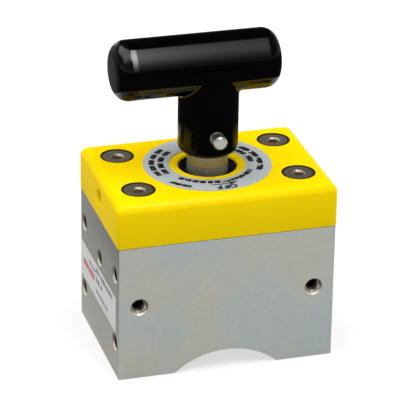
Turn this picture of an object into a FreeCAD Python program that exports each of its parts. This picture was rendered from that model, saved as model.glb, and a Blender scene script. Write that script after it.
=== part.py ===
import FreeCAD, Part
import math
import os

from FreeCAD import Vector

# Switchable magnetic stop block, in millimetres.
# The origin is the bottom centre, X runs along the block, -Y is the front and +Z is up.

# Steel pole block
BLOCK_LENGTH = 89.0
BLOCK_DEPTH = 61.2
BLOCK_HEIGHT = 57.5
BLOCK_EDGE_BREAK = 0.5
SADDLE_CHORD = 43.0
SADDLE_RISE = 8.1
SADDLE_WEB = 3.9
CHAMBER_WALL = 5.6
CHAMBER_MOUTH_CHAMFER = 0.8

# Tapped holes of the block, all one thread size
THREAD_CORE_DIAMETER = 5.0
THREAD_MOUTH_DIAMETER = 7.0
THREAD_DEPTH = 11.0
DRILL_POINT_ANGLE = 118.0
FRONT_HOLE_END_DISTANCE = 8.5
FRONT_HOLE_HEIGHT = 31.6
SIDE_HOLE_FACE_DISTANCE = 6.0
SIDE_HOLE_LOW_HEIGHT = 14.5
SIDE_HOLE_TOP_DISTANCE = 13.3
SIDE_CENTRE_HOLE_TOP_DISTANCE = 17.7

# Cap and its gasket
GASKET_THICKNESS = 0.2
GASKET_INSET = 0.3
CAP_HEIGHT = 18.3
CAP_OVERHANG = 0.3
CAP_CORNER_RADIUS = 1.2
CAP_EDGE_RADIUS = 4.0
CAP_BORE_DIAMETER = 23.4
CAP_BORE_EDGE_RADIUS = 1.8
CAP_POCKET_WIDTH = 28.0
CAP_POCKET_DEPTH = 5.0

# Countersunk screws that hold the cap
SCREW_DIAMETER = 6.0
SCREW_LENGTH = 25.0
SCREW_HEAD_DIAMETER = 12.6
SCREW_HEAD_RIM = 0.3
SCREW_SINK = 0.2
SCREW_SOCKET_ACROSS_FLATS = 4.0
SCREW_SOCKET_DEPTH = 2.6
SCREW_HOLE_DIAMETER = 6.6
SCREW_TAPPED_SPARE = 2.0
SCREW_END_DISTANCE = 11.6
SCREW_FACE_DISTANCE = 14.1

# Magnet stack
SEPARATOR_THICKNESS = 0.8
FLANGE_THICKNESS = 6.5
WASHER_THICKNESS = 2.3
WASHER_RIM_WIDTH = 8.0
MAGNET_CHAMFER = 0.8
DOWEL_DIAMETER = 5.0
DOWEL_SPACING = 34.0
DOWEL_BLOCK_DEPTH = 4.5
DOWEL_MAGNET_DEPTH = 6.0
DRIVE_PIN_DIAMETER = 5.0
DRIVE_PIN_MAGNET_DEPTH = 6.0

# Drive hub and its socket
HUB_DIAMETER = 22.0
HUB_DEPTH = 14.0
HUB_FLOOR = 2.0
KEY_LENGTH = 8.0

# Shaft
SHAFT_DIAMETER = 16.5
TONGUE_DIAMETER = 14.0
TONGUE_ACROSS_FLATS = 11.0
TONGUE_ENGAGEMENT = 9.6
SHAFT_CHAMFER = 0.6
SHAFT_SOCKET_DEPTH = 22.0
PUSH_TRAVEL = 3.0
TURN_ANGLE = 180.0
CIRCLIP_THICKNESS = 1.2
CIRCLIP_WIDTH = 2.6
CIRCLIP_GROOVE_DEPTH = 0.7
CIRCLIP_GAP_ANGLE = 50.0
CIRCLIP_EAR_DIAMETER = 3.2
CIRCLIP_EYE_DIAMETER = 1.4

# Bush and wiper seal in the cap
BUSH_FLANGE_THICKNESS = 1.5
BUSH_FLANGE_DIAMETER = 27.2
SEAL_HEIGHT = 2.4
SEAL_SINK = 2.1
SEAL_LIP_WIDTH = 0.9
SEAL_GROOVE_DEPTH = 1.2

# Stop screw in the cap
STOP_SCREW_DIAMETER = 6.0
STOP_SCREW_LENGTH = 12.0
STOP_SCREW_TOP_DISTANCE = 9.2
STOP_SCREW_SOCKET_ACROSS_FLATS = 3.0
STOP_SCREW_SOCKET_DEPTH = 3.0
STOP_SCREW_MOUTH_DIAMETER = 7.0
DOG_DIAMETER = 3.6
DOG_REACH = 1.7

# Return spring
SPRING_DIAMETER = 11.0
SPRING_WIRE_HEIGHT = 0.9
SPRING_WIRE_WIDTH = 1.4
SPRING_TURNS = 4.0

# Handle
BAR_DIAMETER = 24.4
BAR_LEFT_REACH = 39.5
BAR_RIGHT_REACH = 27.8
BAR_END_RADIUS = 6.0
BAR_HEIGHT = 43.7
STEM_DIAMETER = 24.0
STEM_GAP = 6.8
STEM_EDGE_RADIUS = 2.8
JUNCTION_RADIUS = 1.2

# Pointer pin through the handle and the shaft
POINTER_DIAMETER = 5.6
POINTER_REACH = 6.2
POINTER_HEIGHT = 9.6
POINTER_CHAMFER = 0.7
POINTER_TAIL_SINK = 0.6
POINTER_GROOVE_DISTANCE = 1.4
POINTER_GROOVE_WIDTH = 0.6
POINTER_GROOVE_DEPTH = 0.45

# Labels
DIAL_OUTER_DIAMETER = 51.6
DIAL_INNER_DIAMETER = 30.7
DIAL_THICKNESS = 0.3
SIDE_LABEL_LENGTH = 56.5
SIDE_LABEL_HEIGHT = 15.4
SIDE_LABEL_THICKNESS = 0.2
SIDE_LABEL_BASE = 19.3
SIDE_LABEL_BACK_MARGIN = 0.95

# Clearances
RUNNING_FIT = 0.05
ASSEMBLY_FIT = 0.05
ROTOR_FIT = 0.3
END_PLAY = 0.3
OVERCUT = 1.0

# Levels and radii that follow from the sizes above
CAP_UNDERSIDE = BLOCK_HEIGHT + GASKET_THICKNESS
CAP_TOP = CAP_UNDERSIDE + CAP_HEIGHT
CHAMBER_RADIUS = BLOCK_DEPTH / 2 - CHAMBER_WALL
CHAMBER_FLOOR = SADDLE_RISE + SADDLE_WEB
ROTOR_RADIUS = CHAMBER_RADIUS - ROTOR_FIT
FLANGE_TOP = CAP_UNDERSIDE - WASHER_THICKNESS - END_PLAY
STACK_HEIGHT = FLANGE_TOP - FLANGE_THICKNESS - CHAMBER_FLOOR
MAGNET_HEIGHT = (STACK_HEIGHT - SEPARATOR_THICKNESS - END_PLAY) / 2
LOWER_MAGNET_TOP = CHAMBER_FLOOR + MAGNET_HEIGHT
SEPARATOR_TOP = LOWER_MAGNET_TOP + SEPARATOR_THICKNESS
UPPER_MAGNET_BASE = SEPARATOR_TOP + END_PLAY
UPPER_MAGNET_TOP = UPPER_MAGNET_BASE + MAGNET_HEIGHT
HUB_BASE = UPPER_MAGNET_TOP - HUB_DEPTH
SPRING_SEAT = HUB_BASE + HUB_FLOOR
TONGUE_BASE = FLANGE_TOP - TONGUE_ENGAGEMENT
SHOULDER_LEVEL = FLANGE_TOP + PUSH_TRAVEL + END_PLAY
DRIVE_PIN_CIRCLE = (HUB_DIAMETER / 2 + ROTOR_RADIUS) / 2
POCKET_CEILING = CAP_UNDERSIDE + CAP_POCKET_DEPTH
BUSH_FLANGE_BASE = POCKET_CEILING - BUSH_FLANGE_THICKNESS
CIRCLIP_TOP = BUSH_FLANGE_BASE - END_PLAY
SEAL_TOP = CAP_TOP - SEAL_SINK
SEAL_BASE = SEAL_TOP - SEAL_HEIGHT
STOP_SCREW_LEVEL = CAP_TOP - STOP_SCREW_TOP_DISTANCE
SCREW_TOP = CAP_TOP - SCREW_SINK
SCREW_MOUTH_RADIUS = SCREW_HEAD_DIAMETER / 2 + SCREW_HEAD_RIM + SCREW_SINK + ASSEMBLY_FIT
STEM_BASE = CAP_TOP + STEM_GAP
SHAFT_TOP = STEM_BASE + SHAFT_SOCKET_DEPTH
BAR_LEVEL = CAP_TOP + BAR_HEIGHT
POINTER_LEVEL = STEM_BASE + POINTER_HEIGHT
SCREW_PLACES = [
    (side * (BLOCK_LENGTH / 2 - SCREW_END_DISTANCE), face * (BLOCK_DEPTH / 2 - SCREW_FACE_DISTANCE))
    for side in (-1, 1)
    for face in (-1, 1)
]


def cylinder_between(radius, low, high, x=0.0, y=0.0):
    """An upright cylinder from one level to another."""
    return Part.makeCylinder(radius, high - low, Vector(x, y, low))


def ring_between(outer, inner, low, high):
    """An upright ring about the main axis."""
    bore = cylinder_between(inner, low - OVERCUT, high + OVERCUT)
    return cylinder_between(outer, low, high).cut(bore)


def box_between(low, high):
    """A box from its lowest to its highest corner."""
    size = [b - a for a, b in zip(low, high)]
    return Part.makeBox(size[0], size[1], size[2], Vector(*low))


def revolved(profile, angle=360.0):
    """A solid of revolution about the main axis, from (radius, level) points."""
    points = [Vector(radius, 0, level) for radius, level in profile]
    face = Part.Face(Part.makePolygon(points + points[:1]))
    return face.revolve(Vector(0, 0, 0), Vector(0, 0, 1), angle)


def pointed_along(shape, place, direction):
    """Move a shape made along +Z to a place, with +Z turned to the direction."""
    shape.Placement = FreeCAD.Placement(place, FreeCAD.Rotation(Vector(0, 0, 1), direction))
    return shape


def hexagon_prism(across_flats, low, high, x=0.0, y=0.0):
    """An upright hexagonal prism, for a socket."""
    corner = across_flats / math.sqrt(3)
    corners = []
    for step in range(6):
        angle = math.radians(60 * step)
        corners.append(Vector(x + corner * math.cos(angle), y + corner * math.sin(angle), low))
    face = Part.Face(Part.makePolygon(corners + corners[:1]))
    return face.extrude(Vector(0, 0, high - low))


def upright_edges(shape):
    """The straight edges that run along Z."""
    return [edge for edge in shape.Edges if is_upright(edge)]


def is_upright(edge):
    """Whether an edge is a straight line along Z."""
    if not isinstance(edge.Curve, Part.Line):
        return False
    start = edge.Vertexes[0].Point
    end = edge.Vertexes[-1].Point
    return math.hypot(end.x - start.x, end.y - start.y) < 1e-6


def edges_at_level(shape, level):
    """The edges that lie wholly at one level."""
    found = []
    for edge in shape.Edges:
        box = edge.BoundBox
        if abs(box.ZMin - level) < 1e-6 and abs(box.ZMax - level) < 1e-6:
            found.append(edge)
    return found


def tapped_hole_cutter(mouth, inward):
    """What one blind tapped hole takes away: countersunk mouth, core and drill point."""
    core = THREAD_CORE_DIAMETER / 2
    rim = THREAD_MOUTH_DIAMETER / 2
    point = core / math.tan(math.radians(DRILL_POINT_ANGLE / 2))
    profile = [
        (0, -OVERCUT),
        (rim + OVERCUT, -OVERCUT),
        (core, rim - core),
        (core, THREAD_DEPTH),
        (0, THREAD_DEPTH + point),
    ]
    return pointed_along(revolved(profile), mouth, inward)


def long_face_hole_places():
    """Mouths of the tapped holes in the front and back faces, with their inward directions."""
    reach = BLOCK_LENGTH / 2 - FRONT_HOLE_END_DISTANCE
    places = []
    for face in (-1, 1):
        for side in (-1, 1):
            mouth = Vector(side * reach, face * BLOCK_DEPTH / 2, FRONT_HOLE_HEIGHT)
            places.append((mouth, Vector(0, -face, 0)))
    return places


def end_face_hole_places():
    """Mouths of the tapped holes in the left and right faces, with their inward directions."""
    reach = BLOCK_DEPTH / 2 - SIDE_HOLE_FACE_DISTANCE
    high = BLOCK_HEIGHT - SIDE_HOLE_TOP_DISTANCE
    centre = BLOCK_HEIGHT - SIDE_CENTRE_HOLE_TOP_DISTANCE
    spots = [(y, z) for y in (-reach, reach) for z in (SIDE_HOLE_LOW_HEIGHT, high)]
    spots.append((0, centre))
    places = []
    for side in (-1, 1):
        for y, z in spots:
            places.append((Vector(side * BLOCK_LENGTH / 2, y, z), Vector(-side, 0, 0)))
    return places


def pipe_saddle_cutter():
    """The round trough under the block, which lets it sit on a pipe."""
    radius = (SADDLE_CHORD ** 2 / 4 + SADDLE_RISE ** 2) / (2 * SADDLE_RISE)
    start = Vector(0, -BLOCK_DEPTH / 2 - OVERCUT, SADDLE_RISE - radius)
    return Part.makeCylinder(radius, BLOCK_DEPTH + 2 * OVERCUT, start, Vector(0, 1, 0))


def dowel_places():
    """Centres of the two dowels under the lower magnet."""
    return [(-DOWEL_SPACING / 2, 0), (DOWEL_SPACING / 2, 0)]


def make_pole_block():
    """Steel block with pipe saddle, magnet chamber and tapped holes."""
    half_length = BLOCK_LENGTH / 2
    half_depth = BLOCK_DEPTH / 2
    block = box_between((-half_length, -half_depth, 0), (half_length, half_depth, BLOCK_HEIGHT))
    outer = upright_edges(block) + edges_at_level(block, 0)
    block = block.makeChamfer(BLOCK_EDGE_BREAK, outer)
    mouth = CHAMBER_RADIUS + CHAMBER_MOUTH_CHAMFER
    chamber = [
        (0, CHAMBER_FLOOR),
        (CHAMBER_RADIUS, CHAMBER_FLOOR),
        (CHAMBER_RADIUS, BLOCK_HEIGHT - CHAMBER_MOUTH_CHAMFER),
        (mouth, BLOCK_HEIGHT),
        (mouth, BLOCK_HEIGHT + OVERCUT),
        (0, BLOCK_HEIGHT + OVERCUT),
    ]
    cutters = [pipe_saddle_cutter(), revolved(chamber)]
    for place, inward in long_face_hole_places() + end_face_hole_places():
        cutters.append(tapped_hole_cutter(place, inward))
    tapped_floor = SCREW_TOP - SCREW_LENGTH - SCREW_TAPPED_SPARE
    for x, y in SCREW_PLACES:
        radius = SCREW_DIAMETER / 2 + ASSEMBLY_FIT
        cutters.append(cylinder_between(radius, tapped_floor, BLOCK_HEIGHT + OVERCUT, x, y))
    for x, y in dowel_places():
        radius = DOWEL_DIAMETER / 2 + ASSEMBLY_FIT
        cutters.append(cylinder_between(radius, CHAMBER_FLOOR - DOWEL_BLOCK_DEPTH, CHAMBER_FLOOR + OVERCUT, x, y))
    return block.cut(cutters)


def magnet_body(radius, low, high):
    """A magnet disc with its brittle edges chamfered."""
    chamfer = MAGNET_CHAMFER
    profile = [
        (0, low),
        (radius - chamfer, low),
        (radius, low + chamfer),
        (radius, high - chamfer),
        (radius - chamfer, high),
        (0, high),
    ]
    return revolved(profile)


def make_lower_magnet():
    """Fixed magnet disc on the chamber's floor, with blind holes for the dowels."""
    magnet = magnet_body(CHAMBER_RADIUS - 2 * ASSEMBLY_FIT, CHAMBER_FLOOR, LOWER_MAGNET_TOP)
    holes = []
    for x, y in dowel_places():
        radius = DOWEL_DIAMETER / 2 + ASSEMBLY_FIT
        top = CHAMBER_FLOOR + DOWEL_MAGNET_DEPTH + ASSEMBLY_FIT
        holes.append(cylinder_between(radius, CHAMBER_FLOOR - OVERCUT, top, x, y))
    return magnet.cut(holes)


def make_magnet_dowels():
    """Two dowels that keep the lower magnet from turning."""
    low = CHAMBER_FLOOR - DOWEL_BLOCK_DEPTH
    high = CHAMBER_FLOOR + DOWEL_MAGNET_DEPTH
    dowels = [cylinder_between(DOWEL_DIAMETER / 2, low, high, x, y) for x, y in dowel_places()]
    return Part.makeCompound(dowels)


def make_separator_disc():
    """Thin non-magnetic disc that the upper magnet turns over."""
    return cylinder_between(CHAMBER_RADIUS - 2 * ASSEMBLY_FIT, LOWER_MAGNET_TOP, SEPARATOR_TOP)


def drive_pin_places():
    """Centres of the two pins that carry the upper magnet round."""
    return [(0, -DRIVE_PIN_CIRCLE), (0, DRIVE_PIN_CIRCLE)]


def drive_pin_cutters(low, high):
    """What the drive pins' holes take away between two levels."""
    radius = DRIVE_PIN_DIAMETER / 2 + ASSEMBLY_FIT
    return [cylinder_between(radius, low, high, x, y) for x, y in drive_pin_places()]


def make_upper_magnet():
    """Turning magnet ring round the hub's boss."""
    magnet = magnet_body(ROTOR_RADIUS, UPPER_MAGNET_BASE, UPPER_MAGNET_TOP)
    floor = UPPER_MAGNET_TOP - DRIVE_PIN_MAGNET_DEPTH - ASSEMBLY_FIT
    bore_radius = HUB_DIAMETER / 2 + ASSEMBLY_FIT
    bore = cylinder_between(bore_radius, UPPER_MAGNET_BASE - OVERCUT, UPPER_MAGNET_TOP + OVERCUT)
    return magnet.cut([bore] + drive_pin_cutters(floor, UPPER_MAGNET_TOP + OVERCUT))


def make_drive_pins():
    """Two pins through the flange into the upper magnet."""
    low = UPPER_MAGNET_TOP - DRIVE_PIN_MAGNET_DEPTH
    pins = [cylinder_between(DRIVE_PIN_DIAMETER / 2, low, FLANGE_TOP, x, y) for x, y in drive_pin_places()]
    return Part.makeCompound(pins)


def double_flat_bar(diameter, across_flats, low, high):
    """A round bar with two flats, as used for the shaft's tongue."""
    radius = diameter / 2
    slab = box_between((-radius, -across_flats / 2, low), (radius, across_flats / 2, high))
    return cylinder_between(radius, low, high).common(slab)


def make_drive_hub():
    """Flange and boss with a double-flat socket above a round spring pocket."""
    flange = cylinder_between(ROTOR_RADIUS, UPPER_MAGNET_TOP, FLANGE_TOP)
    boss = cylinder_between(HUB_DIAMETER / 2, HUB_BASE, UPPER_MAGNET_TOP)
    hub = flange.fuse(boss).removeSplitter()
    diameter = TONGUE_DIAMETER + 2 * RUNNING_FIT
    across_flats = TONGUE_ACROSS_FLATS + 2 * RUNNING_FIT
    key_floor = FLANGE_TOP - KEY_LENGTH
    socket = double_flat_bar(diameter, across_flats, key_floor - OVERCUT, FLANGE_TOP + OVERCUT)
    pocket = cylinder_between(diameter / 2, SPRING_SEAT, key_floor)
    pins = drive_pin_cutters(UPPER_MAGNET_TOP - OVERCUT, FLANGE_TOP + OVERCUT)
    return hub.cut([socket, pocket] + pins)


def make_thrust_washer():
    """Plain washer between the turning flange and the cap."""
    outer = CHAMBER_RADIUS - 2 * ASSEMBLY_FIT
    return ring_between(outer, outer - WASHER_RIM_WIDTH, CAP_UNDERSIDE - WASHER_THICKNESS, CAP_UNDERSIDE)


def make_return_spring():
    """Flat-wire coil spring between the hub's pocket and the shaft's tongue."""
    outer = SPRING_DIAMETER / 2
    inner = outer - SPRING_WIRE_WIDTH
    low = SPRING_SEAT
    rise = TONGUE_BASE - END_PLAY - SPRING_WIRE_HEIGHT - low
    path = Part.makeHelix(rise / SPRING_TURNS, rise, outer)
    path.translate(Vector(0, 0, low))
    corners = [(inner, low), (outer, low), (outer, low + SPRING_WIRE_HEIGHT), (inner, low + SPRING_WIRE_HEIGHT)]
    points = [Vector(radius, 0, level) for radius, level in corners]
    section = Part.makePolygon(points + points[:1])
    return Part.Wire(path.Edges).makePipeShell([section], True, True)


def motion_window_cutter():
    """The recess round the shaft in which the stop screw's dog lies.

    It is as long as the turn and as high as the push, with the dog's own size added.
    """
    floor = SHAFT_DIAMETER / 2 - DOG_REACH - END_PLAY
    room = DOG_DIAMETER / 2 + END_PLAY
    low = STOP_SCREW_LEVEL - room
    high = STOP_SCREW_LEVEL + PUSH_TRAVEL + room
    outer = SHAFT_DIAMETER / 2 + OVERCUT
    margin = math.degrees(math.asin(room / floor))
    window = revolved([(floor, low), (outer, low), (outer, high), (floor, high)], TURN_ANGLE + 2 * margin)
    window.rotate(Vector(0, 0, 0), Vector(0, 0, 1), 180 - margin)
    return window


def pointer_bore(radius):
    """A hole along Y for the pointer pin, right through the stem."""
    reach = STEM_DIAMETER / 2 + OVERCUT
    return Part.makeCylinder(radius, 2 * reach, Vector(0, -reach, POINTER_LEVEL), Vector(0, 1, 0))


def make_drive_shaft():
    """Turned shaft: flats at its foot, circlip groove, motion window and pin hole."""
    radius = SHAFT_DIAMETER / 2
    groove = radius - CIRCLIP_GROOVE_DEPTH
    clip_base = CIRCLIP_TOP - CIRCLIP_THICKNESS - ASSEMBLY_FIT
    clip_top = CIRCLIP_TOP + ASSEMBLY_FIT
    profile = [
        (0, SHOULDER_LEVEL),
        (radius, SHOULDER_LEVEL),
        (radius, clip_base),
        (groove, clip_base),
        (groove, clip_top),
        (radius, clip_top),
        (radius, SHAFT_TOP - SHAFT_CHAMFER),
        (radius - SHAFT_CHAMFER, SHAFT_TOP),
        (0, SHAFT_TOP),
    ]
    tongue = double_flat_bar(TONGUE_DIAMETER, TONGUE_ACROSS_FLATS, TONGUE_BASE, SHOULDER_LEVEL)
    shaft = revolved(profile).fuse(tongue)
    return shaft.cut([motion_window_cutter(), pointer_bore(POINTER_DIAMETER / 2 + ASSEMBLY_FIT)])


def make_shaft_circlip():
    """External circlip that keeps the spring from pushing the shaft out."""
    inner = SHAFT_DIAMETER / 2 - CIRCLIP_GROOVE_DEPTH + ASSEMBLY_FIT
    outer = inner + CIRCLIP_WIDTH
    low = CIRCLIP_TOP - CIRCLIP_THICKNESS
    reach = 2 * outer
    half_gap = math.radians(CIRCLIP_GAP_ANGLE / 2)
    gap_corners = [
        Vector(0, 0, low - OVERCUT),
        Vector(reach * math.cos(half_gap), reach * math.sin(half_gap), low - OVERCUT),
        Vector(reach * math.cos(half_gap), -reach * math.sin(half_gap), low - OVERCUT),
    ]
    wedge = Part.Face(Part.makePolygon(gap_corners + gap_corners[:1]))
    gap = wedge.extrude(Vector(0, 0, CIRCLIP_THICKNESS + 2 * OVERCUT))
    clip = ring_between(outer, inner, low, CIRCLIP_TOP).cut(gap)
    middle = inner + CIRCLIP_WIDTH / 2
    for turn in (1, -1):
        x = middle * math.cos(half_gap)
        y = turn * middle * math.sin(half_gap)
        ear = cylinder_between(CIRCLIP_EAR_DIAMETER / 2, low, CIRCLIP_TOP, x, y)
        shaft_room = cylinder_between(inner, low - OVERCUT, CIRCLIP_TOP + OVERCUT)
        clip = clip.fuse(ear.cut(shaft_room))
    for turn in (1, -1):
        x = middle * math.cos(half_gap)
        y = turn * middle * math.sin(half_gap)
        eye = cylinder_between(CIRCLIP_EYE_DIAMETER / 2, low - OVERCUT, CIRCLIP_TOP + OVERCUT, x, y)
        clip = clip.cut(eye)
    return clip.removeSplitter()


def stop_screw_cutter(radius, start, end):
    """A hole along X on the left, at the stop screw's level."""
    place = Vector(start, 0, STOP_SCREW_LEVEL)
    return Part.makeCylinder(radius, end - start, place, Vector(1, 0, 0))


def make_shaft_bush():
    """Flanged bush that guides the shaft, with a hole for the stop screw's dog."""
    bore = SHAFT_DIAMETER / 2 + RUNNING_FIT
    barrel = CAP_BORE_DIAMETER / 2 - ASSEMBLY_FIT
    flange = BUSH_FLANGE_DIAMETER / 2
    profile = [
        (bore, BUSH_FLANGE_BASE),
        (flange, BUSH_FLANGE_BASE),
        (flange, POCKET_CEILING),
        (barrel, POCKET_CEILING),
        (barrel, SEAL_BASE),
        (bore, SEAL_BASE),
    ]
    dog_hole = stop_screw_cutter(DOG_DIAMETER / 2 + ASSEMBLY_FIT, -CAP_BORE_DIAMETER, 0)
    return revolved(profile).cut(dog_hole)


def make_shaft_seal():
    """Wiper ring above the bush, with a groove behind its lip."""
    inner = SHAFT_DIAMETER / 2 + RUNNING_FIT
    outer = CAP_BORE_DIAMETER / 2 - ASSEMBLY_FIT
    lip = inner + SEAL_LIP_WIDTH
    middle = (lip + outer) / 2
    profile = [
        (inner, SEAL_BASE),
        (outer, SEAL_BASE),
        (outer, SEAL_TOP),
        (middle, SEAL_TOP),
        (lip, SEAL_TOP - SEAL_GROOVE_DEPTH),
        (lip, SEAL_TOP),
        (inner, SEAL_TOP),
    ]
    return revolved(profile)


def cap_screw_hole_cutter(x, y):
    """Clearance hole with a countersunk mouth for one cap screw."""
    shank = SCREW_HOLE_DIAMETER / 2
    profile = [
        (0, CAP_UNDERSIDE - OVERCUT),
        (shank, CAP_UNDERSIDE - OVERCUT),
        (shank, CAP_TOP - (SCREW_MOUTH_RADIUS - shank)),
        (SCREW_MOUTH_RADIUS + OVERCUT, CAP_TOP + OVERCUT),
        (0, CAP_TOP + OVERCUT),
    ]
    hole = revolved(profile)
    hole.translate(Vector(x, y, 0))
    return hole


def cap_side_hole_cutter():
    """The stop screw's hole, from the cap's left face to its bore."""
    face = -BLOCK_LENGTH / 2 - CAP_OVERHANG
    radius = STOP_SCREW_DIAMETER / 2 + ASSEMBLY_FIT
    mouth = STOP_SCREW_MOUTH_DIAMETER / 2
    hole = stop_screw_cutter(radius, face - OVERCUT, 0)
    profile = [(0, -OVERCUT), (mouth + OVERCUT, -OVERCUT), (0, mouth)]
    countersink = pointed_along(revolved(profile), Vector(face, 0, STOP_SCREW_LEVEL), Vector(1, 0, 0))
    return hole.fuse(countersink)


def make_cap():
    """Coated cap: rounded block with shaft bore, bush pocket and screw holes."""
    half_length = BLOCK_LENGTH / 2 + CAP_OVERHANG
    half_depth = BLOCK_DEPTH / 2 + CAP_OVERHANG
    cap = box_between((-half_length, -half_depth, CAP_UNDERSIDE), (half_length, half_depth, CAP_TOP))
    cap = cap.makeFillet(CAP_EDGE_RADIUS, edges_at_level(cap, CAP_TOP))
    cap = cap.makeFillet(CAP_CORNER_RADIUS, upright_edges(cap))
    bore = cylinder_between(CAP_BORE_DIAMETER / 2, CAP_UNDERSIDE - OVERCUT, CAP_TOP + OVERCUT)
    cap = cap.cut(bore)
    cap = cap.makeFillet(CAP_BORE_EDGE_RADIUS, bore_mouth_edges(cap))
    pocket = cylinder_between(CAP_POCKET_WIDTH / 2, CAP_UNDERSIDE - OVERCUT, POCKET_CEILING)
    holes = [cap_screw_hole_cutter(x, y) for x, y in SCREW_PLACES]
    return cap.cut([pocket, cap_side_hole_cutter()] + holes)


def bore_mouth_edges(cap):
    """The round edge of the shaft bore in the cap's top."""
    return [edge for edge in edges_at_level(cap, CAP_TOP) if edge.isClosed()]


def make_cap_gasket():
    """Thin gasket between the block and the cap."""
    half_length = BLOCK_LENGTH / 2 - GASKET_INSET
    half_depth = BLOCK_DEPTH / 2 - GASKET_INSET
    sheet = box_between((-half_length, -half_depth, BLOCK_HEIGHT), (half_length, half_depth, CAP_UNDERSIDE))
    chamber = CHAMBER_RADIUS + CHAMBER_MOUTH_CHAMFER
    cutters = [cylinder_between(chamber, BLOCK_HEIGHT - OVERCUT, CAP_UNDERSIDE + OVERCUT)]
    for x, y in SCREW_PLACES:
        radius = SCREW_HOLE_DIAMETER / 2
        cutters.append(cylinder_between(radius, BLOCK_HEIGHT - OVERCUT, CAP_UNDERSIDE + OVERCUT, x, y))
    return sheet.cut(cutters)


def make_cap_screw(x, y):
    """One countersunk screw with a hexagonal socket."""
    head = SCREW_HEAD_DIAMETER / 2
    shank = SCREW_DIAMETER / 2
    cone_top = SCREW_TOP - SCREW_HEAD_RIM
    cone_base = cone_top - (head - shank)
    tip = SCREW_TOP - SCREW_LENGTH
    profile = [
        (0, tip),
        (shank - SHAFT_CHAMFER, tip),
        (shank, tip + SHAFT_CHAMFER),
        (shank, cone_base),
        (head, cone_top),
        (head, SCREW_TOP),
        (0, SCREW_TOP),
    ]
    screw = revolved(profile)
    screw.translate(Vector(x, y, 0))
    floor = SCREW_TOP - SCREW_SOCKET_DEPTH
    socket = hexagon_prism(SCREW_SOCKET_ACROSS_FLATS, floor, SCREW_TOP + OVERCUT, x, y)
    return screw.cut(socket)


def make_cap_screws():
    """The four screws that hold the cap down."""
    return Part.makeCompound([make_cap_screw(x, y) for x, y in SCREW_PLACES])


def make_stop_screw():
    """Dog-point set screw that limits the shaft's turn and travel."""
    dog_tip = SHAFT_DIAMETER / 2 - DOG_REACH
    body_front = CAP_BORE_DIAMETER / 2 + ASSEMBLY_FIT
    body_back = body_front + STOP_SCREW_LENGTH
    body = STOP_SCREW_DIAMETER / 2
    dog = DOG_DIAMETER / 2
    profile = [
        (0, dog_tip),
        (dog, dog_tip),
        (dog, body_front),
        (body, body_front + (body - dog) / 2),
        (body, body_back),
        (0, body_back),
    ]
    floor = body_back - STOP_SCREW_SOCKET_DEPTH
    socket = hexagon_prism(STOP_SCREW_SOCKET_ACROSS_FLATS, floor, body_back + OVERCUT)
    screw = revolved(profile).cut(socket)
    return pointed_along(screw, Vector(0, 0, STOP_SCREW_LEVEL), Vector(-1, 0, 0))


def make_dial_label():
    """Ring-shaped dial plate on the cap, round the shaft bore."""
    return ring_between(DIAL_OUTER_DIAMETER / 2, DIAL_INNER_DIAMETER / 2, CAP_TOP, CAP_TOP + DIAL_THICKNESS)


def make_side_label():
    """Thin plate on the left face, from near its back edge."""
    face = -BLOCK_LENGTH / 2
    back = BLOCK_DEPTH / 2 - SIDE_LABEL_BACK_MARGIN
    low = (face - SIDE_LABEL_THICKNESS, back - SIDE_LABEL_LENGTH, SIDE_LABEL_BASE)
    high = (face, back, SIDE_LABEL_BASE + SIDE_LABEL_HEIGHT)
    return box_between(low, high)


def handle_bar():
    """The grip bar, along X, with well-rounded ends."""
    length = BAR_LEFT_REACH + BAR_RIGHT_REACH
    start = Vector(-BAR_LEFT_REACH, 0, BAR_LEVEL)
    bar = Part.makeCylinder(BAR_DIAMETER / 2, length, start, Vector(1, 0, 0))
    rims = [edge for edge in bar.Edges if isinstance(edge.Curve, Part.Circle)]
    return bar.makeFillet(BAR_END_RADIUS, rims)


def handle_stem():
    """The upright stem, with its lower edge rounded."""
    stem = cylinder_between(STEM_DIAMETER / 2, STEM_BASE, BAR_LEVEL)
    return stem.makeFillet(STEM_EDGE_RADIUS, edges_at_level(stem, STEM_BASE))


def junction_edges(handle):
    """The curve where the stem runs into the bar."""
    found = []
    for edge in handle.Edges:
        box = edge.BoundBox
        low = BAR_LEVEL - BAR_DIAMETER / 2 - 0.1
        if box.ZMin > low and box.ZMax < BAR_LEVEL and abs(box.XMax) < STEM_DIAMETER and box.YLength > 1:
            found.append(edge)
    return found


def make_handle_grip():
    """T-shaped grip with a blind socket for the shaft."""
    handle = handle_bar().fuse(handle_stem()).removeSplitter()
    handle = handle.makeFillet(JUNCTION_RADIUS, junction_edges(handle))
    socket_radius = SHAFT_DIAMETER / 2 + ASSEMBLY_FIT
    socket = cylinder_between(socket_radius, STEM_BASE - OVERCUT, SHAFT_TOP + ASSEMBLY_FIT)
    return handle.cut([socket, pointer_bore(POINTER_DIAMETER / 2 + ASSEMBLY_FIT)])


def make_pointer_pin():
    """Pin through stem and shaft, whose long end points at the dial."""
    radius = POINTER_DIAMETER / 2
    stem = STEM_DIAMETER / 2
    front = stem + POINTER_REACH
    tail = -stem + POINTER_TAIL_SINK
    groove_start = stem + POINTER_GROOVE_DISTANCE
    groove_end = groove_start + POINTER_GROOVE_WIDTH
    profile = [
        (0, tail),
        (radius - POINTER_CHAMFER, tail),
        (radius, tail + POINTER_CHAMFER),
        (radius, groove_start),
        (radius - POINTER_GROOVE_DEPTH, groove_start),
        (radius - POINTER_GROOVE_DEPTH, groove_end),
        (radius, groove_end),
        (radius, front - POINTER_CHAMFER),
        (radius - POINTER_CHAMFER, front),
        (0, front),
    ]
    return pointed_along(revolved(profile), Vector(0, 0, POINTER_LEVEL), Vector(0, -1, 0))


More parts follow.
